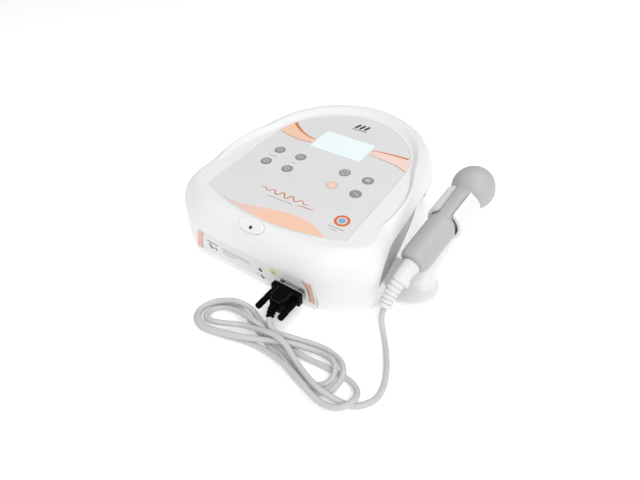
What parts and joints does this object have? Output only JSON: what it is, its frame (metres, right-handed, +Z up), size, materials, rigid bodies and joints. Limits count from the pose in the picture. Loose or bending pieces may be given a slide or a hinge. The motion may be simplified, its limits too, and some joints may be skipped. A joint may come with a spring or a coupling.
{
  "type": "ultrasound therapy device",
  "caption": "Tabletop ultrasound therapy console with sloping keypad and display, round-headed applicator handpiece in a side cradle, and a coiled lead to a front multi-way socket.",
  "frame": {"origin": "on the table, under the middle of the bounding box of console, cradle and handpiece, leaving out the cord and its plug", "axes": "+Z up, +Y towards the back of the console, +X towards the side with the cradle"},
  "size_m": [0.294, 0.3505, 0.1023],
  "materials": {
    "white_shell": "fine satin moulding",
    "white_boot": "satin, ribbed, flexible",
    "grey_overlay": "satin printed film",
    "key_grey": "satin",
    "key_salmon": "satin",
    "display_glass": "clear gloss over a pale blue display",
    "circuit_board": "green solder mask",
    "aluminium": "satin turned",
    "black_plastic": "satin",
    "dark_rubber": "matt",
    "steel": "plated",
    "copper_winding": "enamelled copper wire",
    "piezo_ceramic": "silvered ceramic",
    "handpiece_grey": "fine satin",
    "lead_grey": "satin PVC sheath"
  },
  "bodies": {
    "console": {"top_shell": "white_shell", "bottom_tray": "white_shell", "rear_bay": "white_shell", "indicator_pad": "white_shell", "indicator_lamp": "black_plastic", "cradle": "white_shell", "keypad_overlay": "grey_overlay", "front_panel": "grey_overlay", "ribbon_cable": "grey_overlay", "display_window": "display_glass", "keypad_board": "circuit_board", "main_board": "circuit_board", "display_module": "aluminium", "heatsink": "aluminium", "socket_insulator": "black_plastic", "socket_shell": "steel", "jack_post_left": "steel", "jack_post_right": "steel", "plug_hood": "black_plastic", "plug_shell": "steel", "plug_boot": "black_plastic", "mains_inlet": "black_plastic", "line_pin": "steel", "neutral_pin": "steel", "earth_pin": "steel", "switch_bezel": "black_plastic", "fuse_holder": "black_plastic", "capacitor": "black_plastic", "buzzer": "black_plastic", "output_coil": "copper_winding", "transformer": "steel", "rubber_foot_1": "dark_rubber", "rubber_foot_2": "dark_rubber", "rubber_foot_3": "dark_rubber", "rubber_foot_4": "dark_rubber", "case_screw_1": "steel", "case_screw_2": "steel", "case_screw_3": "steel", "case_screw_4": "steel", "cradle_screw_1": "steel", "cradle_screw_2": "steel", "applicator_cord": "lead_grey"},
    "level_up": {"level_up_key": "key_grey"},
    "level_down": {"level_down_key": "key_grey"},
    "time_up": {"time_up_key": "key_grey"},
    "time_down": {"time_down_key": "key_grey"},
    "program": {"program_key": "key_grey"},
    "enter": {"enter_key": "key_salmon"},
    "start": {"start_key": "key_grey"},
    "stop": {"stop_key": "key_grey"},
    "rocker": {"power_rocker": "black_plastic"},
    "fuse": {"fuse_cap": "black_plastic"},
    "thumbscrew_left": {"left_thumbscrew": "black_plastic"},
    "thumbscrew_right": {"right_thumbscrew": "black_plastic"},
    "handpiece": {"handpiece_shell": "handpiece_grey", "treatment_face": "aluminium", "piezo_disc": "piezo_ceramic", "contact_spring": "steel", "boot_collar": "white_shell", "cable_boot": "white_boot"}
  },
  "joints": [
    {"name": "level_up_press", "type": "slide", "parent": "console", "child": "level_up", "axis": [0, 0.0523, -0.9986], "range_m": [0, 0.0004], "stiffness_N_per_m": 300},
    {"name": "level_down_press", "type": "slide", "parent": "console", "child": "level_down", "axis": [0, 0.0523, -0.9986], "range_m": [0, 0.0004], "stiffness_N_per_m": 300},
    {"name": "time_up_press", "type": "slide", "parent": "console", "child": "time_up", "axis": [0, 0.0523, -0.9986], "range_m": [0, 0.0004], "stiffness_N_per_m": 300},
    {"name": "time_down_press", "type": "slide", "parent": "console", "child": "time_down", "axis": [0, 0.0523, -0.9986], "range_m": [0, 0.0004], "stiffness_N_per_m": 300},
    {"name": "program_press", "type": "slide", "parent": "console", "child": "program", "axis": [0, 0.0523, -0.9986], "range_m": [0, 0.0004], "stiffness_N_per_m": 300},
    {"name": "enter_press", "type": "slide", "parent": "console", "child": "enter", "axis": [0, 0.0523, -0.9986], "range_m": [0, 0.0004], "stiffness_N_per_m": 300},
    {"name": "start_press", "type": "slide", "parent": "console", "child": "start", "axis": [0, 0.0523, -0.9986], "range_m": [0, 0.0004], "stiffness_N_per_m": 300},
    {"name": "stop_press", "type": "slide", "parent": "console", "child": "stop", "axis": [0, 0.0523, -0.9986], "range_m": [0, 0.0004], "stiffness_N_per_m": 300},
    {"name": "power_rock", "type": "hinge", "parent": "console", "child": "rocker", "pos_m": [-0.01688, 0.11985, 0.0255], "axis": [1, 0, 0], "range_deg": [0, 18]},
    {"name": "fuse_turn", "type": "hinge", "parent": "console", "child": "fuse", "pos_m": [0.00312, 0.11985, 0.0255], "axis": [0, -1, 0], "range_deg": [0, 60]},
    {"name": "left_thumbscrew_turn", "type": "hinge", "parent": "console", "child": "thumbscrew_left", "pos_m": [0.00902, -0.15815, 0.0185], "axis": [0, -1, 0], "continuous": true},
    {"name": "right_thumbscrew_turn", "type": "hinge", "parent": "console", "child": "thumbscrew_right", "pos_m": [0.03402, -0.15815, 0.0185], "axis": [0, -1, 0], "continuous": true},
    {"name": "handpiece_lift", "type": "slide", "parent": "console", "child": "handpiece", "axis": [-0.0633, -0.3627, 0.9298], "range_m": [0, 0.06]}
  ]
}
